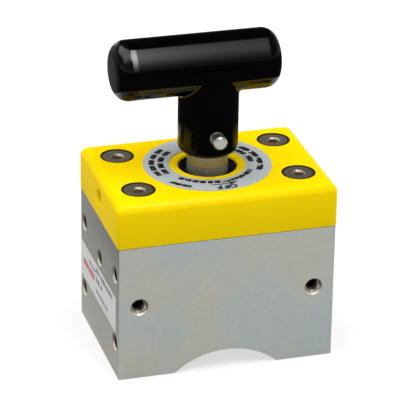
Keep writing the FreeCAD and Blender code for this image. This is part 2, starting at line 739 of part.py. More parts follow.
def main():
    """Write each piece to its own file."""
    pieces = {
        "pole_block": make_pole_block(),
        "lower_magnet": make_lower_magnet(),
        "magnet_dowels": make_magnet_dowels(),
        "separator_disc": make_separator_disc(),
        "upper_magnet": make_upper_magnet(),
        "drive_hub": make_drive_hub(),
        "drive_pins": make_drive_pins(),
        "thrust_washer": make_thrust_washer(),
        "return_spring": make_return_spring(),
        "drive_shaft": make_drive_shaft(),
        "shaft_circlip": make_shaft_circlip(),
        "shaft_bush": make_shaft_bush(),
        "shaft_seal": make_shaft_seal(),
        "cap": make_cap(),
        "cap_gasket": make_cap_gasket(),
        "cap_screws": make_cap_screws(),
        "stop_screw": make_stop_screw(),
        "dial_label": make_dial_label(),
        "side_label": make_side_label(),
        "handle_grip": make_handle_grip(),
        "pointer_pin": make_pointer_pin(),
    }
    os.makedirs("parts", exist_ok=True)
    for name, shape in pieces.items():
        shape.exportStep("parts/" + name + ".step")
        print(name, len(shape.Solids), shape.isValid(), round(shape.Volume, 1))


main()
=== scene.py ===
import math

import bmesh
import bpy
from mathutils import Matrix, Vector


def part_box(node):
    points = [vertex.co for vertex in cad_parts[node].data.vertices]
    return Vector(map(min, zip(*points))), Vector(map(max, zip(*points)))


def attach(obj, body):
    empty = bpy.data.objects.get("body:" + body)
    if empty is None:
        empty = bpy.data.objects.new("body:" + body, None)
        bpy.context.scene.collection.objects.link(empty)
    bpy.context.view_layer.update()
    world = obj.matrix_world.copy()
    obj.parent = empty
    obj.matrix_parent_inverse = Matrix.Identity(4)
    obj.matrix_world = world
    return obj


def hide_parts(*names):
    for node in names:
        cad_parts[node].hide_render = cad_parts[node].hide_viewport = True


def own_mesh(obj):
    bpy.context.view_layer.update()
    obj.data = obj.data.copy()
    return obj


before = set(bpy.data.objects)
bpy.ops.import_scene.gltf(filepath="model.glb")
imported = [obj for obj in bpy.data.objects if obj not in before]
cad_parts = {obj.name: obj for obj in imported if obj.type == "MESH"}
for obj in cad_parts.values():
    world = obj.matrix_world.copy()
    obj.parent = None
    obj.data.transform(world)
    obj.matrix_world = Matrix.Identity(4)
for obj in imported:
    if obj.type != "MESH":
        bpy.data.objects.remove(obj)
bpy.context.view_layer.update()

MM = 0.001
SMALL = 0.001 * MM

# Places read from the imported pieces
BLOCK_LOW, BLOCK_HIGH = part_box("pole_block")
CAP_LOW, CAP_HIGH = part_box("cap")
CAP_TOP = CAP_HIGH.z
GRIP_LOW, GRIP_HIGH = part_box("handle_grip")
SHAFT_LOW, SHAFT_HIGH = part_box("drive_shaft")
SCREWS_LOW, SCREWS_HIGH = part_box("cap_screws")
POINTER_LOW, POINTER_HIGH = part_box("pointer_pin")
SEAL_LOW, SEAL_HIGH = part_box("shaft_seal")
STOP_LOW, STOP_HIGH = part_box("stop_screw")
SPRING_LOW, SPRING_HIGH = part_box("return_spring")
DIAL_LOW, DIAL_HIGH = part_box("dial_label")
FILM_LOW, FILM_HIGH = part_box("side_label")

# Block
BLOCK_EDGE = 0.5 * MM
SADDLE_CHORD = 43.0 * MM
SADDLE_RISE = 8.1 * MM
CHAMBER_RADIUS = 25.0 * MM
CHAMBER_FLOOR = 12.0 * MM
THREAD_CORE = 2.5 * MM
THREAD_RADIUS = 3.0 * MM
THREAD_MOUTH = 3.65 * MM
THREAD_DEPTH = 11.0 * MM
THREAD_PITCH = 1.0 * MM
THREAD_TURNS = 5
BORE_LINING = 0.12 * MM
# Thread tints by depth into the hole: painted light near the mouth, painted shade going black deeper in.
THREAD_LIGHT_AND_SHADE_TINTS = (
    (0.0, (0.7, 0.64, 0.54)), (0.3, (0.55, 0.49, 0.4)), (0.55, (0.12, 0.1, 0.075)), (1.0, (0.03, 0.025, 0.018)))
THREAD_SHADE_DEPTH = 5.0 * MM
# Countersink tints by which way the surface faces: painted shade facing down, painted light facing up.
CUT_LIGHT_AND_SHADE_TINTS = (
    (0.15, (0.08, 0.065, 0.05)), (0.5, (0.17, 0.145, 0.115)), (0.62, (0.3, 0.26, 0.21)), (0.78, (0.8, 0.76, 0.64)))
GROUND_TINTS = ((0.34, (0.405, 0.395, 0.34)), (0.5, (0.39, 0.405, 0.375)), (0.64, (0.36, 0.4, 0.4)))
# Block end faces: painted shade, a darker tint than the sides that goes darker towards the top.
END_FACE_DEPTH = 0.2 * MM
END_SHADE_TINTS = ((0.0, (0.37, 0.362, 0.33)), (0.5, (0.252, 0.251, 0.23)), (1.0, (0.153, 0.152, 0.139)))
FRONT_HOLE_REACH = 36.0 * MM
FRONT_HOLE_LEVEL = 31.6 * MM
SIDE_HOLE_REACH = 24.6 * MM
SIDE_HOLE_LEVELS = (14.5 * MM, 44.2 * MM)
SIDE_CENTRE_LEVEL = 39.8 * MM

# Cap
CAP_CORNER = 1.2 * MM
CAP_EDGE = 4.0 * MM
CAP_BORE = 11.7 * MM
CAP_BORE_EDGE = 0.8 * MM
CAP_FOOT_EDGE = 0.25 * MM
CAP_POCKET = 14.0 * MM
CAP_POCKET_DEPTH = 5.0 * MM
CAP_SIDE_HOLE = 3.05 * MM
CAP_SIDE_HOLE_LEVEL = 66.8 * MM
CAP_SIDE_MOUTH = 3.8 * MM
CAP_SIDE_COAT = 1.7 * MM
SEAL_LIP = 0.9 * MM
SEAL_GROOVE = 1.2 * MM
FREE_ROOM = 0.05 * MM

# Cap screws
SCREW_REACH_X = 32.9 * MM
SCREW_REACH_Y = 16.5 * MM
SCREW_HEAD = 6.3 * MM
SCREW_SHANK = 3.0 * MM
SCREW_RIM = 0.3 * MM
SCREW_MOUTH = 6.85 * MM
SCREW_HOLE = 3.3 * MM
SOCKET_CORNER = 2.31 * MM
SOCKET_DEPTH = 2.6 * MM
SOCKET_FLARE = 2.85 * MM
SCREW_TIP = 0.6 * MM
DRILL_POINT = 1.2 * MM
THIN_LAYER = 0.02 * MM
SHADED_CONE = 1.6 * MM
SIDE_LINING = 0.04 * MM
WORN_EDGE = 0.12 * MM
SCREW_PLACES = [
    ((x, y, 0), (0, 0, 1)) for x in (-SCREW_REACH_X, SCREW_REACH_X) for y in (-SCREW_REACH_Y, SCREW_REACH_Y)]
# Screw head tints by distance from its axis: brown in the socket, a painted highlight ring on the socket's chamfer,
# the head's own dark grey-brown, and painted shade of the countersink gap at the rim.
HEAD_LIGHT_AND_SHADE_RINGS = (
    (0.0, (0.5, 0.38, 0.25)), (0.34, (0.45, 0.35, 0.24)), (0.38, (0.46, 0.41, 0.31)), (0.44, (0.38, 0.33, 0.24)),
    (0.48, (0.185, 0.158, 0.108)), (0.86, (0.2, 0.175, 0.125)), (0.93, (0.06, 0.04, 0.018)),
    (1.0, (0.045, 0.026, 0.008)))

# Handle
BAR_RADIUS = 12.08 * MM
BAR_END_EDGE = 6.0 * MM
BAR_END_LOOPS = (2.2 * MM, 0.4 * MM)
BAR_LEVEL = 119.7 * MM
STEM_EDGE = 2.8 * MM
JUNCTION_BLEND = 1.3 * MM
SHAFT_RADIUS = 8.25 * MM
TONGUE_RADIUS = 7.0 * MM
TONGUE_FLAT = 5.5 * MM
SHAFT_SHOULDER = 58.4 * MM
SHAFT_CHAMFER = 0.6 * MM
WINDOW_FLOOR = 6.25 * MM
WINDOW_ROOM = 2.1 * MM
TRACK_HIGH = 77.8 * MM
TRACK_LAYER = 0.02 * MM
TRACK_GAP = 0.1 * MM
PUSH_TRAVEL = 3.0 * MM
SPRING_WIRE_WIDTH = 1.4 * MM
SPRING_WIRE_HEIGHT = 0.9 * MM
SPRING_TURNS = 4
SOCKET_TOP_GAP = 0.1 * MM
# Coat gloss on the grip by which way the surface faces and where it lies: a painted reflection strength, near nil on
# the sides and the very top, glossy on the upper slope and underneath, strongest near the bar's left end for a painted
# highlight.
GRIP_GLOSS_BY_FACING = ((0.315, 0.7), (0.33, 0.02), (0.64, 0.02), (0.7, 0.25), (0.935, 0.25), (0.955, 0.03))
GRIP_END_GLOSS_BY_FACING = ((0.315, 0.3), (0.33, 0.02), (0.64, 0.02), (0.7, 0.85), (0.935, 0.85), (0.955, 0.03))
GRIP_END_GLOSS_ZONE = ((0.02, 0), (0.03, 1), (0.115, 1), (0.125, 0))
GRIP_END_FACES = ((0.008, 0.11), (0.018, 0), (0.982, 0), (0.992, 0.11))
GRIP_FLANKS = ((0.55, 0), (0.85, 0.5))
GRIP_LOW_GLOSS = ((0.16, 1), (0.27, 0))
POINTER_RADIUS = 2.8 * MM
POINTER_LEVEL = 92.4 * MM
POINTER_CHAMFER = 0.7 * MM
POINTER_GROOVE_PLACE = 13.3 * MM
POINTER_GROOVE_WIDTH = 0.6 * MM
POINTER_GROOVE_DEPTH = 0.45 * MM

# Dial plate and side film
DIAL_OUTER = 25.8 * MM
DIAL_INNER = 15.35 * MM
PRINT_THICKNESS = 0.03 * MM
FILM_CORNER = 0.8 * MM
ARROW_HEAD = 12.0

# Camera, fitted to the photograph
CAMERA_AZIMUTH = math.radians(-16.662)
CAMERA_ELEVATION = math.radians(25.152)
CAMERA_ROLL = math.radians(0.945)
CAMERA_TARGET = Vector((0, 0, 44.5 * MM))
CAMERA_OFFSET = (2.445 * MM, -14.13 * MM)
CAMERA_DISTANCE = 1057.86 * MM
CAMERA_SENSOR = 36.0
CAMERA_LENS = 235.4

# Studio dome: a direction's share to the right, and its angle in degrees over the dome from the front horizon
DOME_DIM = 0.16
HORIZON_SOFT = (0.2, 0.35)
KEY_LIGHT = 13.8
KEY_ACROSS = (
    (0.165, 0), (0.18, 1), (0.2316, 1), (0.24, 0.82), (0.251, 0.52), (0.263, 0.39), (0.2755, 0.31), (0.345, 0.25),
    (0.39, 0.12), (0.44, 0))
KEY_OVER = (
    (4, 0), (16, 0.04), (28, 0.14), (38, 0.33), (45, 0.55), (58, 0.85), (70, 1), (84, 0.82), (97, 0.62), (102, 0))
STRIP_LIGHT = 6.0
STRIP_ACROSS = ((0.03, 0), (0.06, 1), (0.165, 1), (0.18, 0))
STRIP_OVER = ((54, 0), (60, 1), (80, 1), (88, 0))
FILL_LIGHT = 2.25
FILL_ACROSS = ((-0.8, 0), (-0.62, 1), (0.02, 1), (0.15, 0))
FILL_OVER = ((50, 0), (70, 1), (130, 1), (150, 0))
FLOOR_COLOUR = 0.42
FLOOR_GLOW = 0.58


# Working in edit mode

def deselect_all():
    """Leave edit mode and select nothing."""
    if bpy.context.object and bpy.context.object.mode == "EDIT":
        bpy.ops.object.mode_set(mode="OBJECT")
    bpy.ops.object.select_all(action="DESELECT")


def make_active(piece):
    """Select one piece alone."""
    deselect_all()
    piece.select_set(True)
    bpy.context.view_layer.objects.active = piece


def settle(piece, name):
    """Put the piece's place in its mesh, with its object at the origin."""
    make_active(piece)
    bpy.ops.object.transform_apply(location=True, rotation=True, scale=True)
    piece.name = name
    piece.data.name = name
    return piece


def edit(piece):
    """Enter edit mode on one piece."""
    make_active(piece)
    bpy.ops.object.mode_set(mode="EDIT")


def leave_edit():
    """Return to object mode."""
    bpy.ops.object.mode_set(mode="OBJECT")


def pick(kind, test):
    """In edit mode, select the edges or faces that pass a test of their centre and corners."""
    bpy.ops.mesh.select_mode(type=kind)
    bpy.ops.mesh.select_all(action="DESELECT")
    mesh = bmesh.from_edit_mesh(bpy.context.object.data)
    parts = mesh.faces if kind == "FACE" else mesh.edges
    for part in parts:
        corners = [vertex.co for vertex in part.verts]
        centre = sum(corners, Vector()) / len(corners)
        if test(centre, corners):
            part.select_set(True)
    mesh.select_flush_mode()
    bmesh.update_edit_mesh(bpy.context.object.data)


def clean_normals():
    """In edit mode, merge doubles and point all faces outwards."""
    bpy.ops.mesh.select_all(action="SELECT")
    bpy.ops.mesh.remove_doubles(threshold=SMALL)
    bpy.ops.mesh.select_all(action="SELECT")
    bpy.ops.mesh.normals_make_consistent(inside=False)


def apply_modifier(piece, kind, **settings):
    """Add one modifier with its settings and apply it."""
    make_active(piece)
    modifier = piece.modifiers.new(kind.lower(), kind)
    for key, value in settings.items():
        setattr(modifier, key, value)
    bpy.ops.object.modifier_apply(modifier=modifier.name)


def soften_edges(piece, width, segments=3, angle=25):
    """Round every sharp edge a little."""
    apply_modifier(piece, "BEVEL", width=width, segments=segments, limit_method="ANGLE",
                   angle_limit=math.radians(angle), harden_normals=False)


def shade(piece, angle=35):
    """Shade smooth, but for edges sharper than the angle."""
    make_active(piece)
    bpy.ops.object.shade_smooth_by_angle(angle=math.radians(angle))


def discard(piece):
    """Delete a piece that has done its work."""
    bpy.data.objects.remove(piece, do_unlink=True)


def cut(piece, cutters):
    """Take the cutters' shapes out of the piece."""
    for cutter in cutters:
        apply_modifier(piece, "BOOLEAN", operation="DIFFERENCE", solver="EXACT", object=cutter)
        discard(cutter)


def join(pieces, name):
    """Make several pieces one."""
    deselect_all()
    for piece in pieces:
        piece.select_set(True)
    bpy.context.view_layer.objects.active = pieces[0]
    bpy.ops.object.join()
    pieces[0].name = name
    pieces[0].data.name = name
    return pieces[0]


def move(piece, place, outward):
    """Turn a piece made at the origin so that its +Z points outward, and take it to its place."""
    turn = Vector((0, 0, 1)).rotation_difference(Vector(outward)).to_matrix()
    piece.data.transform(Matrix.Translation(place) @ turn.to_4x4())
    return piece


def copies_of(piece, places):
    """Put a copy with its own mesh at every place, and delete the piece itself."""
    copies = []
    for place, outward in places:
        twin = piece.copy()
        twin.data = piece.data.copy()
        bpy.context.collection.objects.link(twin)
        copies.append(move(twin, place, outward))
    discard(piece)
    return copies


def box(name, low, high):
    """A plain box between two corners, to be shaped further."""
    low, high = Vector(low), Vector(high)
    deselect_all()
    bpy.ops.mesh.primitive_cube_add(size=1, location=(low + high) / 2)
    piece = bpy.context.object
    piece.scale = high - low
    return settle(piece, name)


def rod(name, radius, start, end, sides=64):
    """A plain round rod between two points, to be shaped further."""
    start, end = Vector(start), Vector(end)
    deselect_all()
    bpy.ops.mesh.primitive_cylinder_add(vertices=sides, radius=radius, depth=(end - start).length)
    return move(settle(bpy.context.object, name), (start + end) / 2, (end - start).normalized())


def section(name, corners):
    """A closed ring of (radius, level) corners beside the Z axis."""
    deselect_all()
    bpy.ops.mesh.primitive_circle_add(vertices=len(corners), radius=MM, fill_type="NOTHING")
    ring = settle(bpy.context.object, name)
    for vertex, (radius, level) in zip(ring.data.vertices, corners):
        vertex.co = (radius, 0, level)
    return ring


def turned(name, profile, steps=96):
    """A closed turned piece: a section spun round the Z axis."""
    piece = section(name, profile)
    edit(piece)
    bpy.ops.mesh.select_all(action="SELECT")
    bpy.ops.mesh.spin(steps=steps, angle=math.tau, use_auto_merge=True, center=(0, 0, 0), axis=(0, 0, 1))
    clean_normals()
    leave_edit()
    return piece


def arc_points(centre, radius, start, end, count):
    """Points on a round corner of a profile, between two angles in degrees."""
    points = []
    for step in range(count + 1):
        angle = math.radians(start + (end - start) * step / count)
        points.append((centre[0] + radius * math.cos(angle), centre[1] + radius * math.sin(angle)))
    return points


# Materials

def feed(material, value, target):
    """Link a socket to a target, or set the target to a plain value."""
    if isinstance(value, bpy.types.NodeSocket):
        material.node_tree.links.new(value, target)
    else:
        target.default_value = value


def wire(material, **values):
    """Link or set the shader's own sockets, named with underscores."""
    inputs = material.node_tree.nodes["Principled BSDF"].inputs
    for key, value in values.items():
        feed(material, value, inputs[key.replace("_", " ")])


def new_material(name, **values):
    """A principled material with plain values on its shader's own sockets."""
    material = bpy.data.materials.new(name)
    material.use_nodes = True
    wire(material, **values)
    return material


def add(material, kind, inputs=None, **settings):
    """Add one node, with settings on the node and values on its sockets."""
    node = material.node_tree.nodes.new(kind)
    for key, value in settings.items():
        setattr(node, key, value)
    for key, value in (inputs or {}).items():
        feed(material, value, node.inputs[key])
    return node


def maths(material, operation, *values):
    """One step of arithmetic on numbers and sockets."""
    return add(material, "ShaderNodeMath", dict(enumerate(values)), operation=operation).outputs[0]


def parts_of(material, output):
    """The X, Y and Z parts of one output of the texture coordinates."""
    coordinates = add(material, "ShaderNodeTexCoord")
    return add(material, "ShaderNodeSeparateXYZ", {"Vector": coordinates.outputs[output]}).outputs


def noise(material, scale, detail=3.0, rough=0.6, stretch=(1, 1, 1)):
    """Noise on the piece's own coordinates, stretched along some axes."""
    place = add(material, "ShaderNodeTexCoord").outputs["Object"]
    mapped = add(material, "ShaderNodeMapping", {"Vector": place, "Scale": stretch}).outputs["Vector"]
    settings = {"Vector": mapped, "Scale": scale, "Detail": detail, "Roughness": rough}
    return add(material, "ShaderNodeTexNoise", settings).outputs["Fac"]


def ramp(material, factor, stops):
    """A colour ramp with stops of (place, colour)."""
    node = add(material, "ShaderNodeValToRGB", {"Fac": factor})
    elements = node.color_ramp.elements
    while len(elements) < len(stops):
        elements.new(0.5)
    for element, (place, colour) in zip(elements, stops):
        element.position = place
        element.color = (*colour, 1)
    return node.outputs["Color"]


def grey_ramp(material, factor, stops):
    """A grey ramp with stops of (place, level)."""
    return ramp(material, factor, [(place, (level, level, level)) for place, level in stops])


def share_of(material, value, low, high):
    """How far a value lies between two ends, from 0 to 1."""
    return add(material, "ShaderNodeMapRange", {"Value": value, "From Min": low, "From Max": high}).outputs["Result"]


def spread(material, height, low, high):
    """Map the middle of a noise to a range."""
    values = {"Value": height, "From Min": 0.3, "From Max": 0.7, "To Min": low, "To Max": high}
    return add(material, "ShaderNodeMapRange", values).outputs["Result"]


def bump(material, height, strength, distance):
    """Turn a height into a bump."""
    values = {"Height": height, "Strength": strength, "Distance": distance}
    return add(material, "ShaderNodeBump", values).outputs["Normal"]


def mixed(material, factor, first, second, blend="MIX"):
    """Blend two colours by a factor."""
    values = {0: factor, 6: first, 7: second}
    return add(material, "ShaderNodeMix", values, data_type="RGBA", blend_type=blend).outputs[2]


def speckled(material, tint, height, dark):
    """A tint made a little darker where a noise is low."""
    fine = grey_ramp(material, height, [(0.3, dark), (0.7, 1.0)])
    return mixed(material, 1.0, tint, fine, "MULTIPLY")


def ground_steel():
    """Block steel: ground sides with wide faint clouds, and end faces darkened by painted shade, darker towards the
    top.
    """
    material = new_material("ground_steel", Metallic=1.0)
    x, _, z = parts_of(material, "Object")
    specks = noise(material, 500, 2, 0.5)
    sides = speckled(material, ramp(material, noise(material, 34, 3, 0.5), GROUND_TINTS), specks, 0.95)
    # Painted shade on the end faces.
    ends = speckled(material, ramp(material, share_of(material, z, 0, BLOCK_HIGH.z), END_SHADE_TINTS), specks, 0.95)
    at_end = maths(material, "GREATER_THAN", maths(material, "ABSOLUTE", x), BLOCK_HIGH.x - END_FACE_DEPTH)
    lines = noise(material, 1, 3, 0.6, (20, 20, 2600))
    rough = maths(material, "MULTIPLY_ADD", at_end, 0.08, spread(material, lines, 0.42, 0.52))
    wire(material, Base_Color=mixed(material, at_end, sides, ends), Roughness=rough,
         Normal=bump(material, lines, 0.08, 0.02 * MM))
    return material


def yellow_coat():
    """Powder coat: deep even yellow with a thin gloss and a faint orange peel."""
    material = new_material("yellow_coat", Specular_IOR_Level=0.0, Coat_Weight=0.06, Coat_Roughness=0.12)
    tint = ramp(material, noise(material, 45, 3, 0.5), [(0.3, (0.975, 0.685, 0.0)), (0.7, (1.0, 0.712, 0.001))])
    peel = noise(material, 700, 2, 0.5)
    wire(material, Base_Color=tint, Roughness=spread(material, peel, 0.34, 0.44),
         Normal=bump(material, peel, 0.06, 0.06 * MM))
    return material


def grip_gloss(material):
    """Coat gloss set by which way the grip faces and where it lies, as a painted reflection: near nil on the sides,
    glossy on the upper slope and underneath, more near the bar's left end, on its end faces and low on the stem.
    """
    sideways, _, upward = parts_of(material, "Normal")
    along, _, height = parts_of(material, "Object")
    upward = share_of(material, upward, -1, 1)
    along = share_of(material, along, GRIP_LOW.x, GRIP_HIGH.x)
    facing_gloss, end_gloss = [grey_ramp(material, upward, stops) for stops in (GRIP_GLOSS_BY_FACING, GRIP_END_GLOSS_BY_FACING)]
    gloss = mixed(material, grey_ramp(material, along, GRIP_END_GLOSS_ZONE), facing_gloss, end_gloss)
    gloss = maths(material, "MAXIMUM", gloss, grey_ramp(material, along, GRIP_END_FACES))
    flanks = grey_ramp(material, maths(material, "ABSOLUTE", sideways), GRIP_FLANKS)
    low = grey_ramp(material, share_of(material, height, GRIP_LOW.z, GRIP_HIGH.z), GRIP_LOW_GLOSS)
    return maths(material, "MAXIMUM", gloss, mixed(material, 1.0, flanks, low, "MULTIPLY"))


def black_grip():
    """Jet black moulding under a thin gloss."""
    material = new_material("black_grip", Specular_IOR_Level=0.0, Coat_Roughness=0.07)
    clouds = noise(material, 120)
    tint = ramp(material, clouds, [(0.3, (0.0006, 0.0006, 0.0007)), (0.7, (0.0014, 0.0013, 0.0012))])
    # Coat weight is the painted reflection strength from grip_gloss.
    wire(material, Coat_Weight=grip_gloss(material), Base_Color=tint, Roughness=spread(material, clouds, 0.3, 0.4),
         Normal=bump(material, noise(material, 350, 2, 0.5), 0.04, 0.04 * MM))
    return material


def oiled(material, tint, dark, rough_low, rough_high):
    """Finish a steel with a fine grain in its tint and its roughness."""
    grain = noise(material, 900)
    wire(material, Base_Color=speckled(material, tint, grain, dark),
         Roughness=spread(material, grain, rough_low, rough_high))
    return material


def screw_steel():
    """Blackened screws, browner and brighter in and round the socket, with a painted highlight ring on its chamfer and
    painted shade at the rim.
    """
    material = new_material("screw_steel", Metallic=1.0)
    x, y, _ = parts_of(material, "Object")
    offsets = [maths(material, "SUBTRACT", maths(material, "ABSOLUTE", part), reach)
               for part, reach in ((x, SCREW_REACH_X), (y, SCREW_REACH_Y))]
    place = add(material, "ShaderNodeCombineXYZ", dict(enumerate(offsets))).outputs["Vector"]
    radius = add(material, "ShaderNodeVectorMath", {0: place}, operation="LENGTH").outputs["Value"]
    rings = ramp(material, share_of(material, radius, 0, SCREW_HEAD), HEAD_LIGHT_AND_SHADE_RINGS)
    return oiled(material, rings, 0.8, 0.4, 0.5)


def thread_steel():
    """Cut threads with painted light near the mouth and painted shade going black further in."""
    material = new_material("thread_steel", Metallic=0.7)
    x, y, _ = parts_of(material, "Object")
    depths = [maths(material, "SUBTRACT", reach, maths(material, "ABSOLUTE", part))
              for part, reach in ((x, BLOCK_HIGH.x), (y, BLOCK_HIGH.y))]
    depth = share_of(material, maths(material, "MINIMUM", *depths), 0, THREAD_SHADE_DEPTH)
    return oiled(material, ramp(material, depth, THREAD_LIGHT_AND_SHADE_TINTS), 0.8, 0.34, 0.44)


def cut_steel():
    """Cut steel countersinks with painted light on their lower, upward-facing sides and painted shade on their upper,
    downward-facing sides.
    """
    material = new_material("cut_steel", Metallic=0.5)
    upward = share_of(material, parts_of(material, "Normal")["Z"], -1, 1)
    return oiled(material, ramp(material, upward, CUT_LIGHT_AND_SHADE_TINTS), 0.85, 0.4, 0.5)


def grained(material, grain, dark, light, rough_low, rough_high, strength, distance):
    """Finish a material with one noise in its tint, its roughness and its bump."""
    wire(material, Base_Color=ramp(material, grain, [(0.3, dark), (0.7, light)]),
         Roughness=spread(material, grain, rough_low, rough_high), Normal=bump(material, grain, strength, distance))
    return material


def turned_steel(name, dark, light, rough_low, rough_high):
    """Steel turned on a lathe: fine rings round the Z axis."""
    material = new_material(name, Metallic=1.0)
    rings = noise(material, 1, 4, 0.6, (12, 12, 1800))
    return grained(material, rings, dark, light, rough_low, rough_high, 0.15, 0.02 * MM)


def grained_metal(name, dark, light, rough_low, rough_high):
    """Metal with a fine even grain."""
    material = new_material(name, Metallic=1.0)
    return grained(material, noise(material, 600), dark, light, rough_low, rough_high, 0.15, 0.03 * MM)


def dull_surface(name, dark, light, rough_low, rough_high, scale=500, gloss=0.5):
    """Paint, ink, film or rubber with a fine even grain."""
    material = new_material(name, Specular_IOR_Level=gloss)
    return grained(material, noise(material, scale), dark, light, rough_low, rough_high, 0.1, 0.02 * MM)


STEEL = ground_steel()
YELLOW = yellow_coat()
GRIP_BLACK = black_grip()
# Shaft steel: its olive-brown tint is partly the steel's own tone and partly a painted reflection of the yellow cap.
SHAFT_STEEL = turned_steel("shaft_steel", (0.29, 0.265, 0.18), (0.38, 0.345, 0.235), 0.34, 0.46)
DULL_BAND_STEEL = dull_surface("dull_band_steel", (0.17, 0.165, 0.13), (0.24, 0.23, 0.19), 0.5, 0.6, 300)
BRIGHT_STEEL = grained_metal("bright_steel", (0.36, 0.375, 0.335), (0.44, 0.455, 0.405), 0.34, 0.44)
SCREW_STEEL = screw_steel()
BLACK_OXIDE = grained_metal("black_oxide", (0.17, 0.15, 0.12), (0.25, 0.225, 0.185), 0.34, 0.46)
# Near-black steel that stands in for shade: painted shade deep in the tapped holes, in the stop screw's hole and in
# the gap round each cap screw head.
PAINTED_SHADE_STEEL = grained_metal("painted_shade_steel", (0.022, 0.015, 0.008), (0.045, 0.034, 0.022), 0.4, 0.55)
THREAD_STEEL = thread_steel()
CUT_STEEL = cut_steel()
PLATED = grained_metal("plated_magnet", (0.42, 0.42, 0.43), (0.5, 0.5, 0.5), 0.22, 0.3)
HARD_STEEL = grained_metal("hard_steel", (0.42, 0.42, 0.42), (0.52, 0.52, 0.52), 0.26, 0.36)
BRONZE = turned_steel("bronze", (0.42, 0.27, 0.11), (0.52, 0.35, 0.15), 0.3, 0.42)
RUBBER = dull_surface("black_rubber", (0.003, 0.003, 0.003), (0.007, 0.007, 0.007), 0.6, 0.75, gloss=0.1)
DIAL_METAL = dull_surface("dial_metal", (0.41, 0.448, 0.46), (0.46, 0.5, 0.507), 0.4, 0.5, 900)
FILM = dull_surface("label_film", (0.525, 0.525, 0.515), (0.58, 0.58, 0.57), 0.3, 0.4, 700)
BLACK_INK = dull_surface("black_ink", (0.004, 0.004, 0.005), (0.008, 0.008, 0.009), 0.5, 0.6, gloss=0.2)
RED_INK = dull_surface("red_ink", (0.42, 0.045, 0.04), (0.52, 0.06, 0.05), 0.4, 0.5)
GREY_INK = dull_surface("grey_ink", (0.05, 0.055, 0.06), (0.075, 0.08, 0.085), 0.4, 0.5)


def finish_piece(piece, material, body, slot, *nodes):
    """Give a piece its material, its body and the nodes that it stands for."""
    piece.data.materials.clear()
    piece.data.materials.append(material)
    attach(piece, body)
    if nodes:
        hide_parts(*nodes)
    return piece


# Block

def hole_places():
    """Mouth and outward direction of each tapped hole."""
    places = []
    for face in (-1, 1):
        for side in (-1, 1):
            mouth = (side * FRONT_HOLE_REACH, face * BLOCK_HIGH.y, FRONT_HOLE_LEVEL)
            places.append((Vector(mouth), (0, face, 0)))
    for side in (-1, 1):
        spots = [(y, z) for y in (-SIDE_HOLE_REACH, SIDE_HOLE_REACH) for z in SIDE_HOLE_LEVELS]
        for y, z in spots + [(0, SIDE_CENTRE_LEVEL)]:
            places.append((Vector((side * BLOCK_HIGH.x, y, z)), (side, 0, 0)))
    return places


def model_block():
    """Steel block: edges broken, saddle, chamber, screw holes and tapped holes cut out."""
    block = box("block_body", BLOCK_LOW, BLOCK_HIGH)
    edit(block)
    pick("EDGE", lambda centre, corners: centre.z < BLOCK_HIGH.z - SMALL)
    bpy.ops.mesh.bevel(offset=BLOCK_EDGE, segments=3, affect="EDGES")
    leave_edit()
    radius = (SADDLE_CHORD ** 2 / 4 + SADDLE_RISE ** 2) / (2 * SADDLE_RISE)
    level = SADDLE_RISE - radius
    reach = 2 * BLOCK_HIGH.y
    cutters = [rod("saddle", radius, (0, -reach, level), (0, reach, level), 256)]
    cutters.append(rod("chamber", CHAMBER_RADIUS, (0, 0, CHAMBER_FLOOR), (0, 0, CAP_TOP), 128))
    low = (0, 0, SCREWS_LOW.z - 2 * MM)
    cutters += copies_of(rod("screw_hole", SCREW_SHANK + FREE_ROOM, low, (0, 0, CAP_TOP), 32), SCREW_PLACES)
    flare = THREAD_MOUTH - THREAD_RADIUS
    drill = turned("drill", [
        (0, MM), (THREAD_MOUTH + MM, MM), (THREAD_RADIUS, -flare), (THREAD_RADIUS, -THREAD_DEPTH),
        (0, -THREAD_DEPTH - THREAD_CORE / 2)], 40)
    cut(block, cutters + copies_of(drill, hole_places()))
    shade(block, 30)
    return finish_piece(block, STEEL, "block", "machined_steel", "pole_block")


def model_threads():
    """The crests of the threads behind each countersunk mouth: one helix, copied to each hole."""
    base = THREAD_RADIUS + FREE_ROOM
    half = 0.42 * THREAD_PITCH
    start = THREAD_RADIUS - THREAD_MOUTH - (THREAD_TURNS + 0.5) * THREAD_PITCH
    crest = section("thread", [(base, start + half), (base, start - half), (THREAD_CORE, start)])
    apply_modifier(crest, "SCREW", screw_offset=THREAD_PITCH, iterations=THREAD_TURNS, steps=24, render_steps=24)
    edit(crest)
    pick("EDGE", lambda centre, corners: False)
    bpy.ops.mesh.select_non_manifold()
    bpy.ops.mesh.edge_face_add()
    clean_normals()
    leave_edit()
    threads = join(copies_of(crest, hole_places()), "hole_threads")
    shade(threads, 40)
    return finish_piece(threads, THREAD_STEEL, "block", "machined_steel")


def model_hole_linings():
    """A near-black thin closed cup on the wall and drill point of each tapped hole: painted shade inside the hole."""
    flare = THREAD_RADIUS - THREAD_MOUTH
    outer, inner = THREAD_RADIUS, THREAD_RADIUS - BORE_LINING
    point = -THREAD_DEPTH - THREAD_CORE / 2
    cup = turned("lining", [
        (outer, flare), (outer, -THREAD_DEPTH), (0, point), (0, point + BORE_LINING),
        (inner, -THREAD_DEPTH + BORE_LINING), (inner, flare)], 40)
    linings = join(copies_of(cup, hole_places()), "hole_linings")
    shade(linings, 30)
    return finish_piece(linings, PAINTED_SHADE_STEEL, "block", "machined_steel")


def model_hole_mouths():
    """The cut countersink of each tapped hole, as a thin layer on its cone, with painted light on its lower side and
    painted shade on its upper side.
    """
    flare = THREAD_RADIUS - THREAD_MOUTH
    layer = turned("mouth", [
        (THREAD_RADIUS, flare), (THREAD_MOUTH, 0), (THREAD_MOUTH - THIN_LAYER, 0),
        (THREAD_RADIUS - THIN_LAYER, flare)], 40)
    mouths = join(copies_of(layer, hole_places()), "hole_mouths")
    shade(mouths, 30)
    return finish_piece(mouths, CUT_STEEL, "block", "machined_steel")


# Cap

